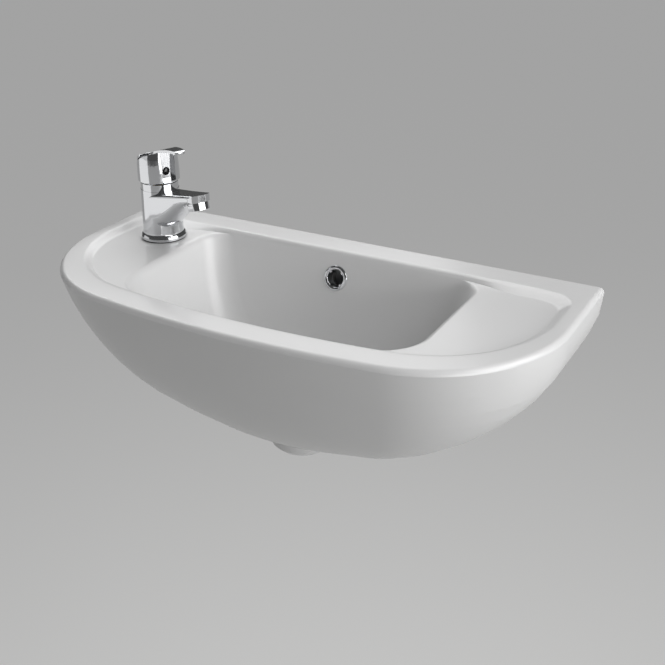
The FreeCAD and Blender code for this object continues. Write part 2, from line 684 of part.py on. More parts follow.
def stem_guide():
    flange = rod(CARTRIDGE_BORE - CLEAR, GUIDE_Z, LIP_Z - PLAY)
    guide = flange.fuse(rod(GUIDE_NECK_RADIUS, GUIDE_Z, CARTRIDGE_TOP + GUIDE_STAND)).removeSplitter()
    across = STEM_SIZE / 2 + CLEAR
    along = GUIDE_NECK_RADIUS - STEM_SIZE / 2
    guide = guide.cut(block(-along, along, -across, across, GUIDE_Z - 1, CARTRIDGE_TOP + GUIDE_STAND + 1))
    return guide.cut(cross_pin(PIN_RADIUS + RUNNING, PIN_LENGTH + PAST))


def lever_stem():
    half = STEM_SIZE / 2
    shank = block(-half, half, -half, half, PIVOT_Z - STEM_SIZE / 2, STEM_TOP)
    neck = rod(STEM_NECK_RADIUS, BALL_Z, PIVOT_Z)
    profile = []
    for step in range(BALL_BANDS + 1):
        turn = math.radians(180.0 * step / BALL_BANDS - 90)
        profile.append((BALL_RADIUS * math.cos(turn), BALL_Z + BALL_RADIUS * math.sin(turn)))
    stem = shank.fuse([neck, revolve(profile)])
    return stem.cut(cross_pin(PIN_RADIUS + RUNNING, PIN_LENGTH + PAST))


def cartridge_nut():
    nut = ring(CHAMBER_RADIUS - PLAY, NUT_BORE_RADIUS, CARTRIDGE_TOP, CARTRIDGE_TOP + NUT_HEIGHT)
    half = NUT_NOTCH / 2
    for turn in (0, 90):
        notch = block(-CHAMBER_RADIUS, CHAMBER_RADIUS, -half, half,
                      CARTRIDGE_TOP + NUT_HEIGHT - NUT_NOTCH, CARTRIDGE_TOP + NUT_HEIGHT + 1)
        notch.rotate(Vector(0, 0, 0), Vector(0, 0, 1), turn)
        nut = nut.cut(notch)
    return nut


def lever_curve(lowered):
    """Side view of the blade's top, an arc from its rear over the crown to the tip."""
    rear = Vector(-SKIRT_RADIUS, -SKIRT_RADIUS, LEVER_REAR_TOP - lowered)
    crown = Vector(LEVER_CROWN_REACH, -SKIRT_RADIUS, LEVER_CROWN_TOP - lowered)
    tip = Vector(LEVER_REACH, -SKIRT_RADIUS, LEVER_TIP_TOP - lowered)
    return arc(rear, crown, tip), rear, tip


def above_lever_curve(lowered):
    """Everything above the arc of the blade, for trimming what lies under it."""
    curve, rear, tip = lever_curve(lowered)
    high = LEVER_TIP_TOP + PAST * 2
    rear_high = Vector(rear.x, rear.y, high)
    tip_high = Vector(tip.x, tip.y, high)
    border = [curve, line(tip, tip_high), line(tip_high, rear_high), line(rear_high, rear)]
    face = Part.Face(Part.Wire(border))
    return face.extrude(Vector(0, 2 * SKIRT_RADIUS, 0))


def arched_plate(lowered):
    """A plate of the blade's thickness under its arc, across the whole lever."""
    top, rear, tip = lever_curve(lowered)
    under, rear_low, tip_low = lever_curve(lowered + BLADE)
    plate = Part.Face(Part.Wire([top, line(tip, tip_low), under, line(rear_low, rear)]))
    return plate.extrude(Vector(0, 2 * SKIRT_RADIUS, 0))


def blade():
    """Tapering tongue that springs from the cap, and behind it a half disc that stands clear of the cap."""
    root, end = TONGUE_ROOT / 2, TONGUE_TIP / 2
    straight = LEVER_REACH - end
    tongue = Part.Wire([
        line(Vector(0, root, 0), Vector(0, -root, 0)),
        line(Vector(0, -root, 0), Vector(straight, -end, 0)),
        arc(Vector(straight, -end, 0), Vector(LEVER_REACH, 0, 0), Vector(straight, end, 0)),
        line(Vector(straight, end, 0), Vector(0, root, 0)),
    ])
    height = LEVER_TIP_TOP + PAST
    front = arched_plate(0.0).common(Part.Face(tongue).extrude(Vector(0, 0, height)))
    rear_half = block(-SKIRT_RADIUS, 0, -SKIRT_RADIUS, SKIRT_RADIUS, 0, height)
    rear = arched_plate(-BLADE_GAP).common(rod(BLADE_REAR_RADIUS, 0, height).common(rear_half))
    return front.fuse(rear)


def along_x(radius, start, end, z):
    return Part.makeCylinder(radius, end - start, Vector(start, 0, z), Vector(1, 0, 0))


def lever_cap():
    """Cap with an upright side that rounds inwards over its upper half."""
    profile = [(0, SKIRT_Z), (SKIRT_RADIUS - SKIRT_EDGE, SKIRT_Z), (SKIRT_RADIUS, SKIRT_Z + SKIRT_EDGE)]
    low = SKIRT_Z + CAP_UPRIGHT
    for step in range(CAP_BANDS + 1):
        turn = math.radians(90.0 * step / CAP_BANDS)
        profile.append((between(CAP_TOP_RADIUS, SKIRT_RADIUS, math.cos(turn)),
                        between(low, LEVER_TIP_TOP, math.sin(turn))))
    return revolve(profile + [(0, LEVER_TIP_TOP)]).cut(above_lever_curve(BLADE))


def lever_handle():
    cap = lever_cap()
    flat = FRONT_FLAT_WIDTH / 2
    cap = cap.cut(block(FRONT_FLAT, SKIRT_RADIUS + PAST, -flat, flat, SKIRT_Z + FRONT_LIP, LEVER_TIP_TOP))
    core = rod(LEVER_CORE_RADIUS, SKIRT_CEILING, LEVER_TIP_TOP).cut(above_lever_curve(BLADE / 2))
    handle = cap.fuse([core, blade()])
    hollow = rod(SKIRT_RADIUS - SKIRT_WALL, SKIRT_Z - 1, SKIRT_CEILING)
    side = flat + SKIRT_WALL
    front_wall = block(FRONT_FLAT - SKIRT_WALL, SKIRT_RADIUS, -side, side, SKIRT_Z - 2, SKIRT_CEILING + 1)
    handle = handle.cut(hollow.cut(front_wall))
    socket = STEM_SIZE / 2 + RUNNING
    handle = handle.cut(block(-socket, socket, -socket, socket, SKIRT_CEILING - 1, STEM_TOP + PLAY))
    handle = handle.cut(along_x(GRUB_RADIUS + RUNNING, 0, FRONT_FLAT + 1, DOT_HEIGHT))
    return handle.cut(along_x(DOT_RADIUS + RUNNING, FRONT_FLAT - DOT_DEPTH, FRONT_FLAT + 1, DOT_HEIGHT))


def grub_screw():
    return along_x(GRUB_RADIUS, STEM_SIZE / 2, STEM_SIZE / 2 + GRUB_LENGTH, DOT_HEIGHT)


def indicator_cap():
    """Plug with a low dome, pressed over the grub screw."""
    plug = along_x(DOT_RADIUS, FRONT_FLAT - DOT_DEPTH, FRONT_FLAT, DOT_HEIGHT)
    dome_radius = (DOT_RADIUS ** 2 + DOT_CROWN ** 2) / (2 * DOT_CROWN)
    dome = Part.makeSphere(dome_radius, Vector(FRONT_FLAT + DOT_CROWN - dome_radius, 0, DOT_HEIGHT))
    front = along_x(DOT_RADIUS, FRONT_FLAT, FRONT_FLAT + 2 * DOT_CROWN, DOT_HEIGHT)
    return plug.fuse(front.common(dome)).removeSplitter()


def clamp_plate(top, thickness):
    """Horseshoe plate: open towards the tap's rear for the inlet hoses, with a hole for the stud."""
    plate = rod(CLAMP_RADIUS, top - thickness, top)
    half = CLAMP_SLOT / 2
    slot_end = STUD_OFFSET - 2 * STUD_RADIUS
    plate = plate.cut(block(-CLAMP_RADIUS - PAST, slot_end, -half, half, top - thickness - 1, top + 1))
    return plate.cut(rod(STUD_RADIUS + CLEAR, top - thickness - 1, top + 1, STUD_OFFSET))


def clamp_nut():
    top = -DECK - CLAMP_GASKET - CLAMP_WASHER
    nut = hex_prism(CLAMP_NUT_FLATS, top - CLAMP_NUT, top, STUD_OFFSET)
    return nut.cut(rod(STUD_RADIUS + RUNNING, top - CLAMP_NUT - 1, top + 1, STUD_OFFSET))


# The china and its overflow
save("basin_body", basin_body())
save("overflow_ring", overflow_ring())

# The tap from the landing upwards
save_tap("base_seal", ring(BASE_RING_RADIUS - SEAL_INSET, TAP_HOLE_RADIUS + SEAL_INSET, 0, SEAL_HEIGHT))
save_tap("base_ring", base_ring())
save_tap("tap_body", tap_body())
save_tap("aerator_housing", aerator_housing())
save_tap("aerator_insert", aerator_insert())
save_tap("aerator_seal", aerator_seal())

# The cartridge from its ports upwards
save_tap("cartridge_seals", cartridge_seals())
save_tap("cartridge_base", cartridge_base())
save_tap("fixed_disc", fixed_disc())
save_tap("moving_disc", moving_disc())
save_tap("disc_carrier", disc_carrier())
save_tap("cartridge_housing", cartridge_housing())
save_tap("stem_guide", stem_guide())
save_tap("pivot_pin", cross_pin(PIN_RADIUS, PIN_LENGTH))
save_tap("lever_stem", lever_stem())
save_tap("cartridge_nut", cartridge_nut())

# The lever
save_tap("lever_handle", lever_handle())
save_tap("grub_screw", grub_screw())
save_tap("indicator_cap", indicator_cap())

# The clamp under the shelf
save_tap("fixing_stud", rod(STUD_RADIUS, STUD_BITE - STUD_LENGTH, STUD_BITE, STUD_OFFSET))
save_tap("clamp_gasket", clamp_plate(-DECK, CLAMP_GASKET))
save_tap("clamp_washer", clamp_plate(-DECK - CLAMP_GASKET, CLAMP_WASHER))
save_tap("clamp_nut", clamp_nut())
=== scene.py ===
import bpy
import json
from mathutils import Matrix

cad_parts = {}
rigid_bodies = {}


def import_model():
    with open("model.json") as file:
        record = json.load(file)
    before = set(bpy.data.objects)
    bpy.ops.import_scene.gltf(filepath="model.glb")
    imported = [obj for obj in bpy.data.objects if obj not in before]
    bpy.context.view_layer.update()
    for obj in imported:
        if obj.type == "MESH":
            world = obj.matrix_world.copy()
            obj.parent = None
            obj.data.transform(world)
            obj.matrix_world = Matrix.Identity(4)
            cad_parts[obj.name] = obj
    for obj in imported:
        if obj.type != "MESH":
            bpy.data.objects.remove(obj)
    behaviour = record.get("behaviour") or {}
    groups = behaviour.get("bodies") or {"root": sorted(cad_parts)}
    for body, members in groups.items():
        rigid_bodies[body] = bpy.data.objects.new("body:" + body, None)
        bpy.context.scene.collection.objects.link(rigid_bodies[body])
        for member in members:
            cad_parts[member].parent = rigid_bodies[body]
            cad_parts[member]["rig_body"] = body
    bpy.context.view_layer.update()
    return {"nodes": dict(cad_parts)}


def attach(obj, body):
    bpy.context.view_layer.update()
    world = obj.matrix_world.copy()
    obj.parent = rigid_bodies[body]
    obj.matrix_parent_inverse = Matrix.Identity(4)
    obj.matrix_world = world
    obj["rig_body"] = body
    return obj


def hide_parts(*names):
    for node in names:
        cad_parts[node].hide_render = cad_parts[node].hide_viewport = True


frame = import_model()

import json
import math

import bmesh
import bpy
from mathutils import Matrix, Vector

# Lengths are in metres, as in the frame. Names that end in MM hold millimetres.
scene = bpy.context.scene

# The basin is one slip-cast piece of vitreous china, dipped in white glaze and fired. The glaze pools
# to a soft gloss with a faint ripple. It hangs on two bolts, and its back and underside are glazed too.
CHINA_WHITE = "E4E4E4"
CHINA_BODY_SHADE = "DEDEDE"
CHINA_CLOUD_MM = 90.0
GLAZE_IOR = 1.5
GLAZE_COAT = 0.3
GLAZE_COAT_ROUGHNESS = 0.16
GLAZE_ROUGHNESS = 0.32
PINHOLE_ROUGHNESS = 0.37
PINHOLE_MM = 1.6
GLAZE_RIPPLE_MM = 22.0
GLAZE_RIPPLE_DEPTH_MM = 0.05
RIM_Z = 0.065
SHELF_Z = 0.0605
STEP_TOP_Y = -0.026  # the step runs from the back rim down to the shelves
STEP_FOOT_Y = -0.03122
SLOPE_EXTRA = 0.01  # the step's foot moves forward by this much over the shelves
SLOPE_START_X = 0.133
SLOPE_FULL_X = 0.19
SLOPE_CUTS = 8
CORNER_START_X = 0.2  # the step turns forward here, round the back corners of the dish
CORNER_END_Y = -0.0563
CREASE_DEGREES = 24.0
WELD = 0.00002  # points that are nearer than this are one point


def linear(hex_colour):
    """A written sRGB colour as the linear values that the shader works in."""
    values = []
    for start in (0, 2, 4):
        share = int(hex_colour[start:start + 2], 16) / 255
        values.append(share / 12.92 if share <= 0.04045 else ((share + 0.055) / 1.055) ** 2.4)
    return (*values, 1.0)


def add_node(owner, kind, settings=None, inputs=None):
    """Add a node to a material or world, set it up and fill its sockets with values or links."""
    node = owner.node_tree.nodes.new(kind)
    for name, value in (settings or {}).items():
        setattr(node, name, value)
    for name, value in (inputs or {}).items():
        if isinstance(value, bpy.types.NodeSocket):
            owner.node_tree.links.new(value, node.inputs[name])
        else:
            node.inputs[name].default_value = value
    return node


def wire(owner, output, socket):
    """Link an output to a socket of the shader that a material or world starts with."""
    owner.node_tree.links.new(output, socket)


def new_material(name, **shader_values):
    """A material with one Principled shader, the shader's plain values and its Object coordinates."""
    material = bpy.data.materials.new(name)
    material.use_nodes = True
    shader = material.node_tree.nodes["Principled BSDF"]
    for socket, value in shader_values.items():
        shader.inputs[socket.replace("_", " ")].default_value = value
    place = add_node(material, "ShaderNodeTexCoord").outputs["Object"]
    return material, shader, place


def per_metre(millimetres):
    """Texture scale that repeats a pattern once in this many millimetres."""
    return 1000.0 / millimetres


def glazed_china():
    """Vitreous china: an opaque white body under clear glaze, with a slow ripple and tiny pinholes."""
    material, shader, place = new_material(
        "glazed_vitreous_china", IOR=GLAZE_IOR, Coat_Weight=GLAZE_COAT, Coat_Roughness=GLAZE_COAT_ROUGHNESS,
        Coat_IOR=GLAZE_IOR)
    clouds = add_node(material, "ShaderNodeTexNoise", inputs={
        "Vector": place, "Scale": per_metre(CHINA_CLOUD_MM), "Detail": 2.0, "Roughness": 0.5})
    tint = add_node(material, "ShaderNodeMix", {"data_type": "RGBA"}, {
        "Factor": clouds.outputs["Fac"], "A": linear(CHINA_WHITE), "B": linear(CHINA_BODY_SHADE)})
    wire(material, tint.outputs["Result"], shader.inputs["Base Color"])
    pits = add_node(material, "ShaderNodeTexVoronoi", {"feature": "F1"}, {
        "Vector": place, "Scale": per_metre(PINHOLE_MM), "Randomness": 1.0})
    gloss = add_node(material, "ShaderNodeMapRange", inputs={
        "Value": pits.outputs["Distance"], "From Min": 0.0, "From Max": 0.9,
        "To Min": PINHOLE_ROUGHNESS, "To Max": GLAZE_ROUGHNESS})
    wire(material, gloss.outputs["Result"], shader.inputs["Roughness"])
    ripple = add_node(material, "ShaderNodeTexNoise", inputs={
        "Vector": place, "Scale": per_metre(GLAZE_RIPPLE_MM), "Detail": 1.0, "Roughness": 0.4})
    swell = add_node(material, "ShaderNodeBump", inputs={
        "Height": ripple.outputs["Fac"], "Strength": 0.35, "Distance": GLAZE_RIPPLE_DEPTH_MM / 1000})
    wire(material, swell.outputs["Normal"], shader.inputs["Normal"])
    return material


def on_shelf(part):
    """Whether all the points of a face or an edge lie at the level of the shelves."""
    return all(abs(vert.co.z - SHELF_Z) < WELD for vert in part.verts)


def in_step(vert, front_y):
    """Whether a point lies between rim and shelf in height, and between this y and the step's top."""
    between_levels = SHELF_Z - WELD < vert.co.z < RIM_Z + WELD
    return between_levels and front_y < vert.co.y < STEP_TOP_Y + WELD


def split_across(build, faces, place):
    """Split faces along the plane at this x, and give back all their parts."""
    edges = {edge for face in faces for edge in face.edges}
    verts = {vert for face in faces for vert in face.verts}
    split = bmesh.ops.bisect_plane(build, geom=[*faces, *edges, *verts], plane_co=(place, 0.0, 0.0),
                                   plane_no=(1.0, 0.0, 0.0))
    return [part for part in split["geom"] if isinstance(part, bmesh.types.BMFace)]


def draw_out_back_slope(build):
    """Draw the step from the back rim to each shelf out to a soft slope, and fill the shelf up to it."""
    parts = [face for face in build.faces
             if on_shelf(face) or all(in_step(vert, STEP_FOOT_Y - WELD) for vert in face.verts)]
    for side in (-1, 1):
        for cut in range(SLOPE_CUTS):
            along = SLOPE_START_X + (SLOPE_FULL_X - SLOPE_START_X) * cut / (SLOPE_CUTS - 1)
            parts = split_across(build, parts, side * along)
    old_shelf = [face for face in parts
                 if on_shelf(face) and abs(face.calc_center_median().x) > SLOPE_START_X]
    bmesh.ops.delete(build, geom=old_shelf, context="FACES")
    for vert in build.verts:
        along = abs(vert.co.x)
        before_corner = along < CORNER_START_X - WELD and vert.co.y < STEP_FOOT_Y - WELD
        if before_corner or not in_step(vert, CORNER_END_Y):
            continue
        sunk = (RIM_Z - vert.co.z) / (RIM_Z - SHELF_Z)
        grown = min(max((along - SLOPE_START_X) / (SLOPE_FULL_X - SLOPE_START_X), 0.0), 1.0)
        eased = grown * grown * (3.0 - 2.0 * grown)
        fading = min((vert.co.y - CORNER_END_Y) / (STEP_FOOT_Y - CORNER_END_Y), 1.0)
        vert.co.y -= SLOPE_EXTRA * sunk * eased * fading
    for side in (-1, 1):
        border = [edge for edge in build.edges if edge.is_boundary and on_shelf(edge)
                  and all(vert.co.x * side > 0 for vert in edge.verts)]
        bmesh.ops.triangle_fill(build, edges=border, use_beauty=True, normal=(0.0, 0.0, 1.0))


def joined_copy(node, material, reshape=None):
    """Show a copy of a solid in its place, with its triangles joined and its curved faces shaded round."""
    mesh = frame["nodes"][node].data.copy()
    build = bmesh.new()
    build.from_mesh(mesh)
    bmesh.ops.remove_doubles(build, verts=build.verts, dist=WELD)
    bmesh.ops.dissolve_degenerate(build, edges=build.edges, dist=WELD)
    if reshape:
        reshape(build)
    bmesh.ops.recalc_face_normals(build, faces=build.faces)
    for face in build.faces:
        face.smooth = True
    for edge in build.edges:
        edge.smooth = edge.calc_face_angle(0.0) < math.radians(CREASE_DEGREES)
    build.to_mesh(mesh)
    build.free()
    mesh.materials.clear()
    mesh.materials.append(material)
    piece = bpy.data.objects.new(node + "_shown", mesh)
    scene.collection.objects.link(piece)
    shading = piece.modifiers.new("flats_stay_flat", "WEIGHTED_NORMAL")
    shading.mode = "FACE_AREA_WITH_ANGLE"
    shading.keep_sharp = True
    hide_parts(node)
    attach(piece, frame["nodes"][node]["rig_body"])


joined_copy("basin_body", glazed_china(), draw_out_back_slope)

# The overflow ring is a brass pressing, polished and chrome plated: a rounded lip on a sleeve that is
# pushed into its hole, with four small spring lugs inside the mouth. The plating is a bright mirror with
# a little haze left by the polishing mop.
CHROME_TONE = "D9DADC"
CHROME_ROUGHNESS = 0.05
CHROME_HAZE_ROUGHNESS = 0.13
POLISH_HAZE_MM = 3.0
POLISH_WAVE_DEPTH_MM = 0.02
POLISHED_EDGE = 0.0004
SHARP_DEGREES = 35.0
FLAT_DEGREES = 0.3
BELOW_ALL_Z = -1.0


def chrome_plate():
    """Chrome on polished metal: a mirror whose gloss varies slightly where the mop has been."""
    material, shader, place = new_material(
        "polished_chrome_plate", Metallic=1.0, Base_Color=linear(CHROME_TONE))
    mop = add_node(material, "ShaderNodeTexNoise", inputs={
        "Vector": place, "Scale": per_metre(POLISH_HAZE_MM), "Detail": 3.0, "Roughness": 0.55})
    haze = add_node(material, "ShaderNodeMapRange", inputs={
        "Value": mop.outputs["Fac"], "To Min": CHROME_ROUGHNESS, "To Max": CHROME_HAZE_ROUGHNESS})
    wire(material, haze.outputs["Result"], shader.inputs["Roughness"])
    wave = add_node(material, "ShaderNodeBump", inputs={
        "Height": mop.outputs["Fac"], "Strength": 0.12, "Distance": POLISH_WAVE_DEPTH_MM / 1000})
    wire(material, wave.outputs["Normal"], shader.inputs["Normal"])
    return material


def break_edges(build, above=BELOW_ALL_Z):
    """Join the triangles of each flat and round the outer edges above a level, as polishing does."""
    bmesh.ops.dissolve_limit(build, angle_limit=math.radians(FLAT_DEGREES), verts=build.verts,
                             edges=build.edges)
    sharp = [edge for edge in build.edges if min(vert.co.z for vert in edge.verts) > above
             and edge.is_convex and edge.calc_face_angle(0.0) > math.radians(SHARP_DEGREES)]
    bmesh.ops.bevel(build, geom=sharp, offset=POLISHED_EDGE, offset_type="OFFSET", affect="EDGES",
                    segments=2, profile=0.5, clamp_overlap=False, material=-1)


chrome = chrome_plate()
joined_copy("overflow_ring", chrome, break_edges)

# The tap stands on a rubber ring that seals the hole in the shelf, under a turned and plated brass ring.
# The rubber is cut from extruded black EPDM tube, matt with a fine cut grain.
RUBBER_BLACK = "1C1C1D"
RUBBER_BLOOM = "2B2B2C"
RUBBER_ROUGHNESS = 0.8
RUBBER_IOR = 1.52
RUBBER_BLOOM_MM = 6.0
RUBBER_GRAIN_MM = 0.6
RUBBER_GRAIN_DEPTH_MM = 0.05


def cut_rubber():
    """EPDM: matt black, with a slight grey bloom and a fine grain left by the knife."""
    material, shader, place = new_material("black_epdm_rubber", Roughness=RUBBER_ROUGHNESS, IOR=RUBBER_IOR)
    bloom = add_node(material, "ShaderNodeTexNoise", inputs={
        "Vector": place, "Scale": per_metre(RUBBER_BLOOM_MM), "Detail": 3.0})
    tint = add_node(material, "ShaderNodeMix", {"data_type": "RGBA"}, {
        "Factor": bloom.outputs["Fac"], "A": linear(RUBBER_BLACK), "B": linear(RUBBER_BLOOM)})
    wire(material, tint.outputs["Result"], shader.inputs["Base Color"])
    grain = add_node(material, "ShaderNodeTexNoise", inputs={
        "Vector": place, "Scale": per_metre(RUBBER_GRAIN_MM), "Detail": 2.0})
    grip = add_node(material, "ShaderNodeBump", inputs={
        "Height": grain.outputs["Fac"], "Strength": 0.3, "Distance": RUBBER_GRAIN_DEPTH_MM / 1000})
    wire(material, grip.outputs["Normal"], shader.inputs["Normal"])
    return material


rubber = cut_rubber()
joined_copy("base_seal", rubber)
joined_copy("base_ring", chrome, break_edges)

# The tap's body is one hollow brass casting with its barrel and spout, ground, polished and plated.
# A stud and a clamp under the shelf pull it down on its ring.
joined_copy("tap_body", chrome)

# The aerator screws into the end of the spout: a plated brass ring with two spanner flats, and in it an
# acetal flow former under a rubber washer.
ACETAL_WHITE = "D6D5CF"
ACETAL_IOR = 1.48
ACETAL_SMOOTH_ROUGHNESS = 0.36
ACETAL_DULL_ROUGHNESS = 0.55
MOULD_GRAIN_MM = 0.5
MOULD_GRAIN_DEPTH_MM = 0.03


def moulded_acetal():
    """Acetal: milky white engineering plastic, moulded, with a fine dull grain from the tool."""
    material, shader, place = new_material(
        "moulded_white_acetal", IOR=ACETAL_IOR, Base_Color=linear(ACETAL_WHITE))
    grain = add_node(material, "ShaderNodeTexNoise", inputs={
        "Vector": place, "Scale": per_metre(MOULD_GRAIN_MM), "Detail": 2.0})
    dull = add_node(material, "ShaderNodeMapRange", inputs={
        "Value": grain.outputs["Fac"], "To Min": ACETAL_SMOOTH_ROUGHNESS, "To Max": ACETAL_DULL_ROUGHNESS})
    wire(material, dull.outputs["Result"], shader.inputs["Roughness"])
    tooth = add_node(material, "ShaderNodeBump", inputs={
        "Height": grain.outputs["Fac"], "Strength": 0.15, "Distance": MOULD_GRAIN_DEPTH_MM / 1000})
    wire(material, tooth.outputs["Normal"], shader.inputs["Normal"])
    return material


acetal = moulded_acetal()
joined_copy("aerator_housing", chrome, break_edges)
joined_copy("aerator_insert", acetal)
joined_copy("aerator_seal", rubber)

# The cartridge sits in the barrel: acetal mouldings hold two lapped ceramic discs, rubber rings seal its
# three ports, and a turned brass nut presses it down. A steel pin carries the brass stem of the lever.
ALUMINA_WHITE = "E6E2D6"
ALUMINA_IOR = 1.76
ALUMINA_ROUGHNESS = 0.22
PORE_ROUGHNESS = 0.42
PORE_MM = 0.7
BRASS_YELLOW = "C9A24E"
BRASS_DULL = "A9873F"
BRASS_ROUGHNESS = 0.28
TARNISH_MM = 5.0
TOOL_MARK_MM = 2.2  # coarser than a real tool's marks, so that they show
TOOL_MARK_DEPTH_MM = 0.03
WAVE_RADIANS = 20.0  # Blender's wave texture runs through this angle in one unit
ZINC_GREY = "B4B6B8"
ZINC_PALE = "C8C9C7"
ZINC_BRIGHT_ROUGHNESS = 0.28
ZINC_CLOUDY_ROUGHNESS = 0.45
SPANGLE_MM = 2.0


def lapped_alumina():
    """Alumina: fired ceramic, ground and lapped to a dull sheen with scattered fine pores."""
    material, shader, place = new_material(
        "lapped_alumina", IOR=ALUMINA_IOR, Base_Color=linear(ALUMINA_WHITE))
    pores = add_node(material, "ShaderNodeTexVoronoi", {"feature": "F1"}, {
        "Vector": place, "Scale": per_metre(PORE_MM)})
    sheen = add_node(material, "ShaderNodeMapRange", inputs={
        "Value": pores.outputs["Distance"], "To Min": PORE_ROUGHNESS, "To Max": ALUMINA_ROUGHNESS})
    wire(material, sheen.outputs["Result"], shader.inputs["Roughness"])
    return material


def turned_brass():
    """Brass off the lathe: warm metal with fine rings from the tool, a little dulled by handling."""
    material, shader, place = new_material("turned_brass", Metallic=1.0, Roughness=BRASS_ROUGHNESS)
    tarnish = add_node(material, "ShaderNodeTexNoise", inputs={
        "Vector": place, "Scale": per_metre(TARNISH_MM), "Detail": 3.0})
    tint = add_node(material, "ShaderNodeMix", {"data_type": "RGBA"}, {
        "Factor": tarnish.outputs["Fac"], "A": linear(BRASS_YELLOW), "B": linear(BRASS_DULL)})
    wire(material, tint.outputs["Result"], shader.inputs["Base Color"])
    rings = add_node(material, "ShaderNodeTexWave", {"bands_direction": "Z"}, {
        "Vector": place, "Scale": per_metre(TOOL_MARK_MM) * math.tau / WAVE_RADIANS, "Distortion": 0.4})
    groove = add_node(material, "ShaderNodeBump", inputs={
        "Height": rings.outputs["Fac"], "Strength": 0.2, "Distance": TOOL_MARK_DEPTH_MM / 1000})
    wire(material, groove.outputs["Normal"], shader.inputs["Normal"])
    return material


def zinc_plated_steel():
    """Steel with a bright zinc coat: pale grey metal with a faint cloudy spangle."""
    material, shader, place = new_material("zinc_plated_steel", Metallic=1.0)
    spangle = add_node(material, "ShaderNodeTexVoronoi", {"feature": "F1"}, {
        "Vector": place, "Scale": per_metre(SPANGLE_MM)})
    tint = add_node(material, "ShaderNodeMix", {"data_type": "RGBA"}, {
        "Factor": spangle.outputs["Distance"], "A": linear(ZINC_GREY), "B": linear(ZINC_PALE)})
    wire(material, tint.outputs["Result"], shader.inputs["Base Color"])
    cloud = add_node(material, "ShaderNodeMapRange", inputs={
        "Value": spangle.outputs["Distance"], "To Min": ZINC_BRIGHT_ROUGHNESS,
        "To Max": ZINC_CLOUDY_ROUGHNESS})
    wire(material, cloud.outputs["Result"], shader.inputs["Roughness"])
    return material


alumina = lapped_alumina()
brass = turned_brass()
zinc_steel = zinc_plated_steel()
joined_copy("cartridge_seals", rubber)
for name in ("cartridge_base", "cartridge_housing", "stem_guide", "disc_carrier"):
    joined_copy(name, acetal)
for name in ("fixed_disc", "moving_disc"):
    joined_copy(name, alumina)
joined_copy("pivot_pin", zinc_steel)
for name in ("lever_stem", "cartridge_nut"):
    joined_copy(name, brass)

# The lever is a plated zinc casting: a hollow skirt with an arched blade over it, held on the stem by a
# grub screw. A small gloss black ABS plug is pressed in over the screw.
PLUG_BLACK = "0C0C0D"
PLUG_IOR = 1.53
PLUG_GLOSS_ROUGHNESS = 0.08
PLUG_GRAIN_ROUGHNESS = 0.2
PLUG_GRAIN_MM = 0.8
TAP_AXIS = Vector((-0.184, -0.0665, 0.0))
LEVER_TURN = math.radians(-20.0)
LEVER_AIM = Vector((math.cos(LEVER_TURN), math.sin(LEVER_TURN), 0.0))
FRONT_FLAT = 0.0145  # from the tap's axis to the flat that the plug sits in
CROWN_GROWTH = 1.2
BLADE_LOW_Z = 0.14


def gloss_moulding():
    """Injection moulded ABS: smooth and glossy, with the faint grain of the tool in its gloss."""
    material, shader, place = new_material("gloss_black_abs", IOR=PLUG_IOR, Base_Color=linear(PLUG_BLACK))
    grain = add_node(material, "ShaderNodeTexNoise", inputs={
        "Vector": place, "Scale": per_metre(PLUG_GRAIN_MM), "Detail": 2.0})
    gloss = add_node(material, "ShaderNodeMapRange", inputs={
        "Value": grain.outputs["Fac"], "To Min": PLUG_GLOSS_ROUGHNESS, "To Max": PLUG_GRAIN_ROUGHNESS})
    wire(material, gloss.outputs["Result"], shader.inputs["Roughness"])
    return material


def break_blade_edges(build):
    """Round the outer edges of the blade and of the cap's top, and leave the thin skirt below."""
    break_edges(build, BLADE_LOW_Z)
    bmesh.ops.remove_doubles(build, verts=build.verts, dist=WELD)
    bmesh.ops.dissolve_degenerate(build, edges=build.edges, dist=WELD)


def round_crown(build):
    """Raise the plug's low crown, in front of the lever's flat, to a round button that catches light."""
    for vert in build.verts:
        proud = (vert.co - TAP_AXIS).dot(LEVER_AIM) - FRONT_FLAT
        if proud > 0.0:
            vert.co += LEVER_AIM * proud * CROWN_GROWTH


joined_copy("lever_handle", chrome, break_blade_edges)
joined_copy("grub_screw", zinc_steel)
joined_copy("indicator_cap", gloss_moulding(), round_crown)

# Under the shelf a brass stud from the tap carries a rubber gasket and a steel horseshoe washer, which a
# brass nut draws up against the china.
joined_copy("fixing_stud", brass)
joined_copy("clamp_gasket", rubber)
joined_copy("clamp_washer", zinc_steel)
joined_copy("clamp_nut", brass)

# The floor is a wide sheet of pale matt paint, well below the basin as in a tall studio. Straight sight
# and mirror images of it get a lift to an even pale tone, and it keeps the shadows.
FLOOR_SHADE = "B8B8B6"
FLOOR_ROUGHNESS = 0.9
FLOOR_LIFT = 0.34
LIFT_WHITE = "FFFFFF"
FLOOR_STIPPLE_MM = 40.0  # coarser than a roller's stipple, so that it shows from far off
FLOOR_STIPPLE_DEPTH_MM = 0.5
FLOOR_BELOW = 1.6
FLOOR_HALF = 15.0


def seen_directly(owner):
    """1 for sight, mirror images and sight through glass, and 0 for the light that falls on the basin."""
    rays = add_node(owner, "ShaderNodeLightPath").outputs
    mirrored = add_node(owner, "ShaderNodeMath", {"operation": "MAXIMUM"}, {
        0: rays["Is Glossy Ray"], 1: rays["Is Transmission Ray"]})
    seen = add_node(owner, "ShaderNodeMath", {"operation": "MAXIMUM"}, {
        0: rays["Is Camera Ray"], 1: mirrored.outputs["Value"]})
    return seen.outputs["Value"]


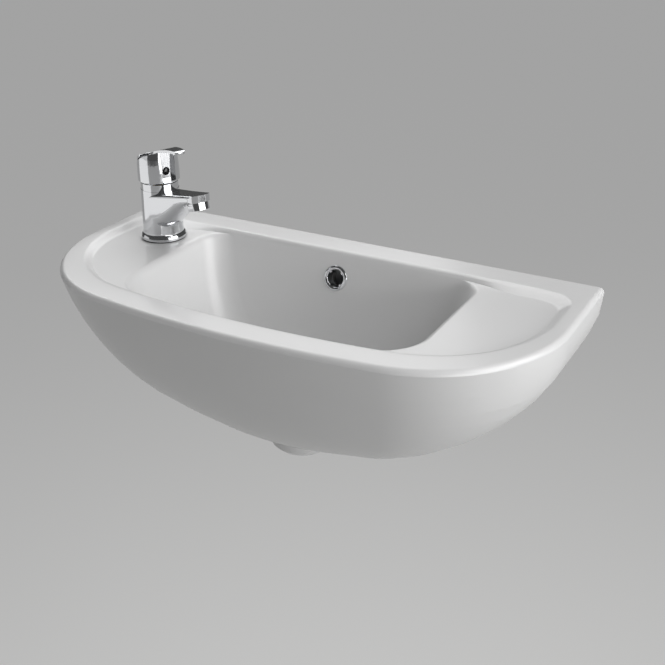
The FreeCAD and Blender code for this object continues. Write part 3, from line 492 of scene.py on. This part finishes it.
def floor_paint():
    """Matt floor paint with the faint stipple of a roller."""
    material, shader, place = new_material(
        "matt_floor_paint", Roughness=FLOOR_ROUGHNESS, Base_Color=linear(FLOOR_SHADE),
        Emission_Color=linear(LIFT_WHITE))
    stipple = add_node(material, "ShaderNodeTexNoise", inputs={
        "Vector": place, "Scale": per_metre(FLOOR_STIPPLE_MM), "Detail": 2.0})
    texture = add_node(material, "ShaderNodeBump", inputs={
        "Height": stipple.outputs["Fac"], "Strength": 0.05, "Distance": FLOOR_STIPPLE_DEPTH_MM / 1000})
    wire(material, texture.outputs["Normal"], shader.inputs["Normal"])
    lift = add_node(material, "ShaderNodeMath", {"operation": "MULTIPLY"}, {
        0: seen_directly(material), 1: FLOOR_LIFT})
    wire(material, lift.outputs["Value"], shader.inputs["Emission Strength"])
    return material


floor_mesh = bpy.data.meshes.new("floor")
floor_build = bmesh.new()
bmesh.ops.create_grid(floor_build, x_segments=1, y_segments=1, size=FLOOR_HALF,
                      matrix=Matrix.Translation((0.0, 0.0, -FLOOR_BELOW)))
floor_build.to_mesh(floor_mesh)
floor_build.free()
floor_mesh.materials.append(floor_paint())
floor = bpy.data.objects.new("floor", floor_mesh)
scene.collection.objects.link(floor)

# Soft studio light: a broad key from the right and above, a weaker lamp high behind on the left, one low
# at the front right that lights the hull, and a dim panel at the front left. The world adds an even glow,
# and shows a little brighter to sight and in mirrors.
WORLD_GREY = "6A6A6A"
WORLD_LIGHT = 0.3
WORLD_SEEN = 0.55
LIT_POINT = Vector((0.0, -0.1, 0.0))

world = bpy.data.worlds.new("studio")
world.use_nodes = True
background = world.node_tree.nodes["Background"]
background.inputs["Color"].default_value = linear(WORLD_GREY)
glow = add_node(world, "ShaderNodeMapRange", inputs={
    "Value": seen_directly(world), "To Min": WORLD_LIGHT, "To Max": WORLD_SEEN})
wire(world, glow.outputs["Result"], background.inputs["Strength"])
scene.world = world


def soft_light(name, place, width, height, power):
    """A plain rectangular soft box that faces the basin."""
    lamp = bpy.data.lights.new(name, "AREA")
    lamp.shape = "RECTANGLE"
    lamp.size = width
    lamp.size_y = height
    lamp.energy = power
    light = bpy.data.objects.new(name, lamp)
    facing = (LIT_POINT - Vector(place)).to_track_quat("-Z", "Y").to_matrix().to_4x4()
    light.matrix_world = Matrix.Translation(place) @ facing
    scene.collection.objects.link(light)


soft_light("key", place=(1.6, -0.1, 0.85), width=1.5, height=1.5, power=27.0)
soft_light("high_left", place=(-0.8, 0.75, 1.3), width=1.6, height=1.6, power=18.5)
soft_light("low_right", place=(1.45, -0.95, 0.1), width=1.1, height=0.8, power=10.0)
soft_light("left_panel", place=(-1.0, -0.8, -0.05), width=1.4, height=1.2, power=3.2)

# The camera stands in front, to the right and above, where the photograph was taken from. Its place, aim
# and focal length come from a perspective fit to the rim in the photograph's frame.
IMAGE_SIDE_PIXELS = 665
FOCAL_PIXELS = 997.56
SENSOR_MM = 36.0
CAMERA_PLACE = Vector((0.4369, -0.8171, 0.4191))
CAMERA_AIM = Vector((0.031034, -0.1, 0.014553))
CAMERA_ROLL = math.radians(-0.66)

optics = bpy.data.cameras.new("camera")
optics.sensor_width = SENSOR_MM
optics.lens = FOCAL_PIXELS * SENSOR_MM / IMAGE_SIDE_PIXELS
camera = bpy.data.objects.new("camera", optics)
facing = (CAMERA_AIM - CAMERA_PLACE).to_track_quat("-Z", "Y").to_matrix().to_4x4()
roll = Matrix.Rotation(CAMERA_ROLL, 4, "Z")
camera.matrix_world = Matrix.Translation(CAMERA_PLACE) @ facing @ roll
scene.collection.objects.link(camera)
scene.camera = camera
scene.view_settings.view_transform = "Standard"
